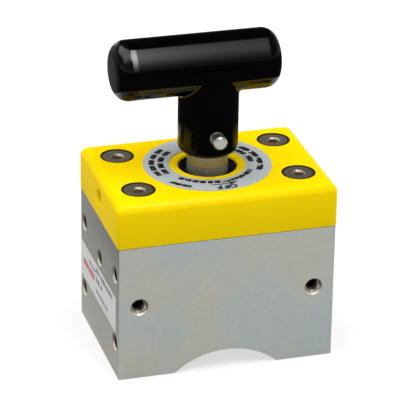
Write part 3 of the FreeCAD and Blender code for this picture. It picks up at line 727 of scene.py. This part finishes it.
def model_cap():
    """Coated cap: rounded box with flared shaft bore, bush pocket, screw holes and side hole."""
    cap = box("cap_shell", CAP_LOW, CAP_HIGH)
    edit(cap)
    pick("EDGE", lambda centre, corners: all(corner.z > CAP_TOP - SMALL for corner in corners))
    bpy.ops.mesh.bevel(offset=CAP_EDGE, segments=10, affect="EDGES")
    mitred = lambda point: abs((CAP_HIGH.x - abs(point.x)) - (CAP_HIGH.y - abs(point.y))) < SMALL
    pick("EDGE", lambda centre, corners: mitred(centre) and all(mitred(corner) for corner in corners))
    bpy.ops.mesh.bevel(offset=CAP_CORNER, segments=6, affect="EDGES")
    pick("EDGE", lambda centre, corners: all(corner.z < CAP_LOW.z + SMALL for corner in corners))
    bpy.ops.mesh.bevel(offset=CAP_FOOT_EDGE, segments=2, affect="EDGES")
    clean_normals()
    leave_edit()
    flare_centre = (CAP_BORE + CAP_BORE_EDGE, CAP_TOP - CAP_BORE_EDGE)
    flare = arc_points(flare_centre, CAP_BORE_EDGE, 180, 90, 8)
    bore = [(0, CAP_LOW.z - MM), (CAP_BORE, CAP_LOW.z - MM)] + flare
    bore += [(CAP_BORE + CAP_BORE_EDGE, CAP_TOP + MM), (0, CAP_TOP + MM)]
    cutters = [turned("bore", bore, 128)]
    ceiling = CAP_LOW.z + CAP_POCKET_DEPTH
    cutters.append(rod("pocket", CAP_POCKET, (0, 0, CAP_LOW.z - MM), (0, 0, ceiling), 96))
    countersink = turned("countersink", [
        (0, CAP_LOW.z - MM), (SCREW_HOLE, CAP_LOW.z - MM), (SCREW_HOLE, CAP_TOP - SCREW_MOUTH + SCREW_HOLE),
        (SCREW_MOUTH + MM, CAP_TOP + MM), (0, CAP_TOP + MM)], 64)
    cutters += copies_of(countersink, SCREW_PLACES)
    side = turned("side", [
        (0, MM), (CAP_SIDE_MOUTH + MM, MM), (CAP_SIDE_HOLE, CAP_SIDE_HOLE - CAP_SIDE_MOUTH),
        (CAP_SIDE_HOLE, CAP_LOW.x), (0, CAP_LOW.x)], 48)
    cutters.append(move(side, (CAP_LOW.x, 0, CAP_SIDE_HOLE_LEVEL), (-1, 0, 0)))
    cut(cap, cutters)
    shade(cap, 30)
    return finish_piece(cap, YELLOW, "block", "yellow_coat", "cap")


def model_cap_screws():
    """One countersunk socket screw, copied to the four corners."""
    top, tip = SCREWS_HIGH.z, SCREWS_LOW.z
    cone_base = top - SCREW_RIM - (SCREW_HEAD - SCREW_SHANK)
    screw = turned("cap_screw", [
        (0, tip), (SCREW_SHANK - SCREW_TIP, tip), (SCREW_SHANK, tip + SCREW_TIP), (SCREW_SHANK, cone_base),
        (SCREW_HEAD, top - SCREW_RIM), (SCREW_HEAD, top), (0, top)], 64)
    socket = rod("socket", SOCKET_CORNER, (0, 0, top - SOCKET_DEPTH), (0, 0, top + MM), 6)
    point = turned("point", [
        (0, top - SOCKET_DEPTH - DRILL_POINT), (SOCKET_CORNER * 0.86, top - SOCKET_DEPTH),
        (0, top - SOCKET_DEPTH + MM)], 32)
    flare = turned("flare", [
        (0, top - 2 * SOCKET_DEPTH / 3), (SOCKET_CORNER * 0.8, top - SOCKET_FLARE + SOCKET_CORNER * 0.8),
        (SOCKET_FLARE + MM, top + MM), (0, top + MM)], 48)
    cut(screw, [socket, point, flare])
    soften_edges(screw, WORN_EDGE, 2, 35)
    shade(screw, 35)
    group = join(copies_of(screw, SCREW_PLACES), "socket_screws")
    return finish_piece(group, SCREW_STEEL, "block", "black_steel", "cap_screws")


def model_countersink_shade():
    """A thin dark layer on each of the four countersink cones: painted shade of the gap round each screw head."""
    foot = SCREW_MOUTH - SHADED_CONE
    layer = turned("layer", [
        (foot, CAP_TOP - SCREW_MOUTH + foot), (SCREW_MOUTH, CAP_TOP),
        (SCREW_MOUTH - THIN_LAYER, CAP_TOP), (foot, CAP_TOP - SCREW_MOUTH + foot + THIN_LAYER)], 64)
    group = join(copies_of(layer, SCREW_PLACES), "countersink_shade")
    shade(group, 30)
    return finish_piece(group, PAINTED_SHADE_STEEL, "block", "black_steel")


def model_side_hole_lining():
    """A near-black layer on the wall of the stop screw's hole behind its coated mouth: painted shade inside the hole.
    """
    inner = CAP_SIDE_HOLE - SIDE_LINING
    deep = CAP_LOW.x + CAP_BORE + MM
    lining = turned("side_hole_lining", [
        (CAP_SIDE_HOLE, -CAP_SIDE_COAT), (CAP_SIDE_HOLE, deep), (inner, deep), (inner, -CAP_SIDE_COAT)], 48)
    move(lining, (CAP_LOW.x, 0, CAP_SIDE_HOLE_LEVEL), (-1, 0, 0))
    shade(lining, 30)
    return finish_piece(lining, PAINTED_SHADE_STEEL, "block", "black_steel")


def model_bore_lining():
    """A black layer, in the rubber material, on the wall of the shaft's bore below its coated lip: painted shade in
    the gap round the shaft.
    """
    inner, top = CAP_BORE - THIN_LAYER, CAP_TOP - CAP_BORE_EDGE
    lining = turned("bore_lining", [
        (CAP_BORE, SEAL_HIGH.z), (CAP_BORE, top), (inner, top), (inner, SEAL_HIGH.z)], 128)
    shade(lining, 30)
    return finish_piece(lining, RUBBER, "block", "black_steel")


def model_seal():
    """Wiper ring round the shaft, with a groove behind its lip."""
    inner, outer = SHAFT_RADIUS + FREE_ROOM, CAP_BORE - FREE_ROOM
    lip = inner + SEAL_LIP
    seal = turned("wiper_seal", [
        (inner, SEAL_LOW.z), (outer, SEAL_LOW.z), (outer, SEAL_HIGH.z), ((lip + outer) / 2, SEAL_HIGH.z),
        (lip, SEAL_HIGH.z - SEAL_GROOVE), (lip, SEAL_HIGH.z), (inner, SEAL_HIGH.z)])
    soften_edges(seal, WORN_EDGE)
    shade(seal)
    return finish_piece(seal, RUBBER, "block", "black_rubber", "shaft_seal")


# Handle

def mitre_cut(keep, half):
    """In edit mode, cut with the two 45 degree planes of the junction, and delete what isn't kept."""
    for lean in (1, -1):
        pick("FACE", half)
        bpy.ops.mesh.bisect(plane_co=(0, 0, BAR_LEVEL), plane_no=(lean, 0, 1))
    pick("FACE", lambda centre, corners: half(centre, corners) and not keep(centre))
    bpy.ops.mesh.delete(type="FACE")


def model_grip():
    """T-shaped grip: bar and stem cut to a mitre, joined, and blended at the seam."""
    bar = rod("grip", BAR_RADIUS, (GRIP_LOW.x, 0, BAR_LEVEL), (GRIP_HIGH.x, 0, BAR_LEVEL), 64)
    edit(bar)
    for end, inward, loop in zip((GRIP_LOW.x, GRIP_HIGH.x), (1, -1), BAR_END_LOOPS):
        pick("EDGE", lambda centre, corners: all(abs(corner.x - end) < SMALL for corner in corners))
        bpy.ops.mesh.bevel(offset=BAR_END_EDGE, segments=12, affect="EDGES")
        bpy.ops.mesh.select_all(action="SELECT")
        bpy.ops.mesh.bisect(plane_co=(end + inward * (BAR_END_EDGE + loop), 0, 0), plane_no=(1, 0, 0))
    below = lambda centre, corners: centre.z < BAR_LEVEL - SMALL and abs(centre.x) < BAR_RADIUS * 1.6
    mitre_cut(lambda centre: abs(centre.x) > BAR_LEVEL - centre.z, below)
    leave_edit()
    stem = rod("stem", BAR_RADIUS, (0, 0, GRIP_LOW.z), (0, 0, BAR_LEVEL), 64)
    edit(stem)
    pick("EDGE", lambda centre, corners: all(corner.z < GRIP_LOW.z + SMALL for corner in corners))
    bpy.ops.mesh.bevel(offset=STEM_EDGE, segments=8, affect="EDGES")
    pick("FACE", lambda centre, corners: centre.z < GRIP_LOW.z + SMALL)
    bpy.ops.mesh.inset(thickness=BAR_RADIUS - STEM_EDGE - SHAFT_RADIUS - SOCKET_TOP_GAP)
    deep = SHAFT_HIGH.z + SOCKET_TOP_GAP - GRIP_LOW.z
    bpy.ops.mesh.extrude_region_move(TRANSFORM_OT_translate={"value": (0, 0, deep)})
    mitre_cut(lambda centre: abs(centre.x) < BAR_LEVEL - centre.z, lambda centre, corners: True)
    leave_edit()
    grip = join([bar, stem], "grip_moulding")
    edit(grip)
    clean_normals()
    seam = lambda centre, corners: all(
        abs(BAR_LEVEL - c.z - abs(c.x)) < 2 * SMALL and abs(c.xy.length - BAR_RADIUS) < 10 * SMALL for c in corners)
    pick("EDGE", seam)
    bpy.ops.mesh.bevel(offset=JUNCTION_BLEND, segments=4, affect="EDGES")
    leave_edit()
    shade(grip, 40)
    return finish_piece(grip, GRIP_BLACK, "handle", "black_grip", "handle_grip")


def window_levels():
    """Low and high edge of the recess in the shaft that takes the stop screw's tip."""
    middle = (STOP_LOW.z + STOP_HIGH.z) / 2
    return middle - WINDOW_ROOM, middle + PUSH_TRAVEL + WINDOW_ROOM


def window_cutter():
    """Half a ring, as long as the turn and as high as the push."""
    low, high = window_levels()
    outer = SHAFT_RADIUS + MM
    ring = turned("window_cutter", [(WINDOW_FLOOR, low), (outer, low), (outer, high), (WINDOW_FLOOR, high)])
    edit(ring)
    bpy.ops.mesh.select_all(action="SELECT")
    bpy.ops.mesh.bisect(plane_co=(0, WINDOW_ROOM, 0), plane_no=(0, 1, 0), use_fill=True, clear_outer=True)
    clean_normals()
    leave_edit()
    return ring


def model_shaft():
    """Turned shaft with chamfered top, a recess for the stop screw and a flatted tongue."""
    shaft = turned("turned_shaft", [
        (0, SHAFT_SHOULDER), (SHAFT_RADIUS - SHAFT_CHAMFER, SHAFT_SHOULDER),
        (SHAFT_RADIUS, SHAFT_SHOULDER + SHAFT_CHAMFER), (SHAFT_RADIUS, SHAFT_HIGH.z - SHAFT_CHAMFER),
        (SHAFT_RADIUS - SHAFT_CHAMFER, SHAFT_HIGH.z), (0, SHAFT_HIGH.z)])
    cut(shaft, [window_cutter()])
    tongue = rod("tongue", TONGUE_RADIUS, (0, 0, SHAFT_LOW.z), (0, 0, SHAFT_SHOULDER), 64)
    edit(tongue)
    for side in (-1, 1):
        bpy.ops.mesh.select_all(action="SELECT")
        bpy.ops.mesh.bisect(
            plane_co=(0, side * TONGUE_FLAT, 0), plane_no=(0, side, 0), use_fill=True, clear_outer=True)
    clean_normals()
    leave_edit()
    shaft = join([shaft, tongue], "turned_shaft")
    shade(shaft, 30)
    return finish_piece(shaft, SHAFT_STEEL, "handle", "shaft_steel", "drive_shaft")


def model_shaft_band():
    """A dull grey band on the shaft just above the seal, as a thin layer."""
    outer = SHAFT_RADIUS + TRACK_LAYER
    low = window_levels()[1] + TRACK_GAP
    track = turned("shaft_band", [
        (SHAFT_RADIUS, low), (outer, low), (outer, TRACK_HIGH), (SHAFT_RADIUS, TRACK_HIGH)])
    shade(track, 30)
    return finish_piece(track, DULL_BAND_STEEL, "handle", "shaft_steel")


def model_return_spring():
    """Flat-wire coil spring under the shaft, made at one length; the real one shortens as the handle is pushed down.
    """
    outer, low = SPRING_HIGH.x, SPRING_LOW.z
    inner, high = outer - SPRING_WIRE_WIDTH, low + SPRING_WIRE_HEIGHT
    spring = section("coil_spring", [(inner, low), (outer, low), (outer, high), (inner, high)])
    rise = (SPRING_HIGH.z - high) / SPRING_TURNS
    apply_modifier(spring, "SCREW", axis="Z", angle=math.tau, screw_offset=rise, iterations=SPRING_TURNS,
                   steps=48, render_steps=48)
    edit(spring)
    bpy.ops.mesh.select_all(action="SELECT")
    bpy.ops.mesh.fill_holes(sides=4)
    clean_normals()
    leave_edit()
    shade(spring, 30)
    finish_piece(spring, HARD_STEEL, "rotor", "hard_steel", "return_spring")
    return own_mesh(spring)


def model_pointer():
    """Pin through the stem, chamfered at both ends and grooved near its foot."""
    front, tail = -POINTER_LOW.y, -POINTER_HIGH.y
    groove = POINTER_GROOVE_PLACE
    waist = POINTER_RADIUS - POINTER_GROOVE_DEPTH
    pin = turned("bright_pointer", [
        (0, tail), (POINTER_RADIUS - POINTER_CHAMFER, tail), (POINTER_RADIUS, tail + POINTER_CHAMFER),
        (POINTER_RADIUS, groove), (waist, groove), (waist, groove + POINTER_GROOVE_WIDTH),
        (POINTER_RADIUS, groove + POINTER_GROOVE_WIDTH), (POINTER_RADIUS, front - POINTER_CHAMFER),
        (POINTER_RADIUS - POINTER_CHAMFER, front), (0, front)], 64)
    soften_edges(pin, WORN_EDGE)
    shade(pin)
    move(pin, (0, 0, POINTER_LEVEL), (0, -1, 0))
    return finish_piece(pin, BRIGHT_STEEL, "handle", "bright_steel", "pointer_pin")


# Dial

def model_dial():
    """Ring-shaped dial plate."""
    dial = turned("dial_plate", [
        (DIAL_INNER, DIAL_LOW.z), (DIAL_OUTER, DIAL_LOW.z), (DIAL_OUTER, DIAL_HIGH.z), (DIAL_INNER, DIAL_HIGH.z)], 160)
    soften_edges(dial, 0.08 * MM, 2)
    shade(dial, 30)
    return finish_piece(dial, DIAL_METAL, "block", "dial_plate", "dial_label")


def arc_mark(inner, outer, start, end):
    """A flat printed mark that follows the dial, between two radii and two angles in degrees."""
    steps = max(2, int(abs(end - start) / 3) + 1)
    deselect_all()
    bpy.ops.mesh.primitive_grid_add(x_subdivisions=steps, y_subdivisions=1, size=1)
    mark = bpy.context.object
    for vertex in mark.data.vertices:
        angle = math.radians(start + (vertex.co.x + 0.5) * (end - start))
        radius = inner + (vertex.co.y + 0.5) * (outer - inner)
        vertex.co = (radius * math.cos(angle), radius * math.sin(angle), DIAL_HIGH.z)
    return mark


def letter_mark(letter, angle, radius, height, wide=1.0, bold=0.02):
    """A printed character centred on the dial's circle, its top towards the rim."""
    deselect_all()
    bpy.ops.object.text_add()
    text = bpy.context.object
    text.data.body = letter
    text.data.size = height / 0.72
    text.data.align_x = "CENTER"
    text.data.offset = bold * height
    text.data.resolution_u = 3
    bpy.ops.object.convert(target="MESH")
    mark = bpy.context.object
    upright = Matrix.Rotation(math.radians(angle - 90), 4, "Z")
    foot = Matrix.Translation((0, radius - height / 2, DIAL_HIGH.z))
    mark.data.transform(upright @ foot @ Matrix.Diagonal((wide, 1, 1, 1)))
    return mark


def row_marks(row, start, end, radius, height, wide=1.0, bold=0.02):
    """A row of characters along the dial, spread evenly from a start angle to an end angle."""
    step = (end - start) / (len(row) - 1)
    marks = []
    for place, letter in enumerate(row):
        if letter != " ":
            marks.append(letter_mark(letter, start + step * place, radius, height, wide, bold))
    return marks


def arrow_marks(start, end, radius):
    """A curved arrow on the dial, with its head at the end angle."""
    turn = 1 if end > start else -1
    shaft, head = 0.34 * MM, 1.1 * MM
    neck = end - turn * ARROW_HEAD
    marks = [arc_mark(radius - shaft, radius + shaft, start, neck)]
    tip = arc_mark(radius - head, radius + head, neck, end)
    for vertex in tip.data.vertices:
        along = math.degrees(math.atan2(vertex.co.y, vertex.co.x))
        share = abs((end - along + 180) % 360 - 180) / ARROW_HEAD
        flat = vertex.co.xy.length
        scaled = radius + (flat - radius) * min(1, share)
        vertex.co.x *= scaled / flat
        vertex.co.y *= scaled / flat
    return marks + [tip]


def print_layer(marks, name, material, slot):
    """Join marks to one thin printed layer."""
    layer = join(marks, name)
    settle(layer, name)
    edit(layer)
    clean_normals()
    leave_edit()
    apply_modifier(layer, "SOLIDIFY", thickness=PRINT_THICKNESS, offset=1.0)
    return finish_piece(layer, material, "block", slot)


def model_dial_print():
    """OFF and ON with their arrows, and rows of plain numbers round the dial."""
    marks = row_marks("OFF", -80.5, -94.0, 23.4 * MM, 3.1 * MM, 1.0, 0.08)
    marks += row_marks("ON", 94, 86, 23.5 * MM, 3.1 * MM, 0.95, 0.07)
    marks += arrow_marks(-101.3, -69.3, 20.4 * MM)
    marks += arrow_marks(79, 100, 20.4 * MM)
    marks += row_marks("100 200 300 400 500", 196, 131.5, 22.4 * MM, 1.9 * MM, 1.15, 0.17)
    marks += row_marks("150 250 350 450", 196, 131.5, 18.9 * MM, 1.9 * MM, 1.1, 0.17)
    marks += row_marks("600 700 800 900", 33, -28, 21.2 * MM, 2.0 * MM, 1.35, 0.17)
    marks += row_marks("650 750", 31, -5, 17.8 * MM, 1.9 * MM, 1.3, 0.17)
    marks += row_marks("1 2 3 4 5 6 7 8 9 10 11 12 13 14 15", -35, -141.5, 18.0 * MM, 1.7 * MM, 1.35, 0.17)
    marks += row_marks("1234567", -123, -143, 23.2 * MM, 1.7 * MM, 1.2, 0.15)
    return print_layer(marks, "dial_print", BLACK_INK, "dial_plate")


# Side film

def model_film():
    """Thin film on the left face, with rounded corners."""
    film = box("side_film", FILM_LOW, FILM_HIGH)
    edit(film)
    middle = (FILM_LOW + FILM_HIGH) / 2
    pick("EDGE", lambda centre, corners: abs(centre.x - middle.x) < SMALL)
    bpy.ops.mesh.bevel(offset=FILM_CORNER, segments=5, affect="EDGES")
    leave_edit()
    shade(film, 30)
    return finish_piece(film, FILM, "block", "label_film", "side_label")


def film_mark(back, front, low, high):
    """A flat printed bar on the film, from its back end to its front end."""
    deselect_all()
    bpy.ops.mesh.primitive_plane_add(size=1)
    mark = bpy.context.object
    for vertex in mark.data.vertices:
        y = back + (vertex.co.x + 0.5) * (front - back)
        z = low + (vertex.co.y + 0.5) * (high - low)
        vertex.co = (FILM_LOW.x, y, z)
    return mark


def film_row(back, level, height, lengths, gap):
    """A row of printed dashes on the film, running forward from a back end."""
    marks = []
    for length in lengths:
        marks.append(film_mark(back * MM, (back - length) * MM, level * MM, (level + height) * MM))
        back -= length + gap
    return marks


def model_film_print():
    """A red bar and rows of plain grey dashes on the film."""
    red = film_row(25.5, 25.7, 2.6, (8.5, 9.0), 0.8)
    layer = print_layer(red, "film_red_print", RED_INK, "label_film")
    grey = film_row(4.3, 31.2, 1.9, (2.2, 1.2, 2.6, 1.6, 3.0, 1.2, 2.2, 3.4, 1.8), 0.7)
    grey += film_row(4.3, 26.9, 2.0, (1.6, 2.4, 1.2, 1.8), 0.7)
    grey += film_row(4.6, 22.4, 1.2, (3.2, 1.4, 2.6, 4.0, 1.6, 2.4), 0.7)
    grey += film_row(16.0, 30.2, 1.0, (3.0, 2.0, 4.0), 0.8)
    return layer, print_layer(grey, "film_grey_print", GREY_INK, "label_film")


# Pieces that stay as they are in the frame

def dress_frame_pieces():
    """Give each kept piece of the frame its material."""
    dress = {
        "lower_magnet": PLATED, "upper_magnet": PLATED, "magnet_dowels": HARD_STEEL, "drive_hub": HARD_STEEL,
        "drive_pins": HARD_STEEL, "separator_disc": BRONZE, "thrust_washer": BRONZE,
        "shaft_bush": BRONZE, "shaft_circlip": BLACK_OXIDE, "stop_screw": BLACK_OXIDE, "cap_gasket": RUBBER,
    }
    for name, material in dress.items():
        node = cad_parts[name]
        for slot in node.material_slots:
            slot.material = material


# Studio

def make_camera():
    """The photograph's camera."""
    sin_a, cos_a = math.sin(CAMERA_AZIMUTH), math.cos(CAMERA_AZIMUTH)
    sin_e, cos_e = math.sin(CAMERA_ELEVATION), math.cos(CAMERA_ELEVATION)
    back = Vector((sin_a * cos_e, -cos_a * cos_e, sin_e))
    level = Vector((0, 0, 1)).cross(back).normalized()
    upright = back.cross(level)
    right = math.cos(CAMERA_ROLL) * level + math.sin(CAMERA_ROLL) * upright
    up = math.cos(CAMERA_ROLL) * upright - math.sin(CAMERA_ROLL) * level
    place = CAMERA_TARGET - CAMERA_OFFSET[0] * right - CAMERA_OFFSET[1] * up + CAMERA_DISTANCE * back
    data = bpy.data.cameras.new("camera")
    data.sensor_width = CAMERA_SENSOR
    data.lens = CAMERA_LENS
    camera = bpy.data.objects.new("camera", data)
    bpy.context.collection.objects.link(camera)
    turn = Matrix((right, up, back)).transposed()
    camera.matrix_world = Matrix.Translation(place) @ turn.to_4x4()
    bpy.context.scene.camera = camera


def sky_patch(world, across, over, across_stops, over_stops, strength):
    """One soft patch of the studio dome, between stops across it and over it."""
    first = grey_ramp(world, across, [((place + 1) / 2, level) for place, level in across_stops])
    second = grey_ramp(world, over, [(place / 180, level) for place, level in over_stops])
    return maths(world, "MULTIPLY", maths(world, "MULTIPLY", first, second), strength)


def make_world():
    """A studio dome: pale at the horizon, soft lights over the front, dim behind and above."""
    world = bpy.data.worlds.new("studio")
    bpy.context.scene.world = world
    world.use_nodes = True
    x, y, z = parts_of(world, "Generated")
    across = share_of(world, x, -1, 1)
    angle = maths(world, "ARCTAN2", z, maths(world, "MULTIPLY", y, -1))
    over = share_of(world, angle, 0, math.pi)
    soft_low, soft_high = [(level + 1) / 2 for level in HORIZON_SOFT]
    total = grey_ramp(world, share_of(world, z, -1, 1), [(soft_low, 1.0), (soft_high, DOME_DIM)])
    lights = [
        (KEY_ACROSS, KEY_OVER, KEY_LIGHT), (STRIP_ACROSS, STRIP_OVER, STRIP_LIGHT),
        (FILL_ACROSS, FILL_OVER, FILL_LIGHT)]
    for light in lights:
        total = maths(world, "ADD", total, sky_patch(world, across, over, *light))
    background = world.node_tree.nodes["Background"]
    background.inputs["Color"].default_value = (1, 1, 1, 1)
    feed(world, total, background.inputs["Strength"])


def make_floor():
    """A wide pale floor that keeps the shadow."""
    deselect_all()
    bpy.ops.mesh.primitive_plane_add(size=12)
    floor = settle(bpy.context.object, "floor")
    material = new_material(
        "floor_white", Roughness=0.9, Specular_IOR_Level=0.0, Emission_Color=(1, 1, 1, 1),
        Base_Color=(FLOOR_COLOUR, FLOOR_COLOUR, FLOOR_COLOUR, 1))
    rays = add(material, "ShaderNodeLightPath").outputs
    seen = rays["Is Camera Ray"]
    for kind in ("Is Glossy Ray", "Is Transmission Ray"):
        seen = maths(material, "MAXIMUM", seen, rays[kind])
    wire(material, Emission_Strength=maths(material, "MULTIPLY", seen, FLOOR_GLOW))
    floor.data.materials.append(material)


def make_studio():
    """Camera, floor and dome, with plain view settings."""
    make_camera()
    make_floor()
    make_world()
    bpy.context.scene.view_settings.view_transform = "Standard"


make_studio()
model_block()
model_threads()
model_hole_linings()
model_hole_mouths()
model_cap()
model_cap_screws()
model_countersink_shade()
model_side_hole_lining()
model_bore_lining()
model_seal()
model_grip()
model_shaft()
model_shaft_band()
model_return_spring()
model_pointer()
model_dial()
model_dial_print()
model_film()
model_film_print()
dress_frame_pieces()
deselect_all()
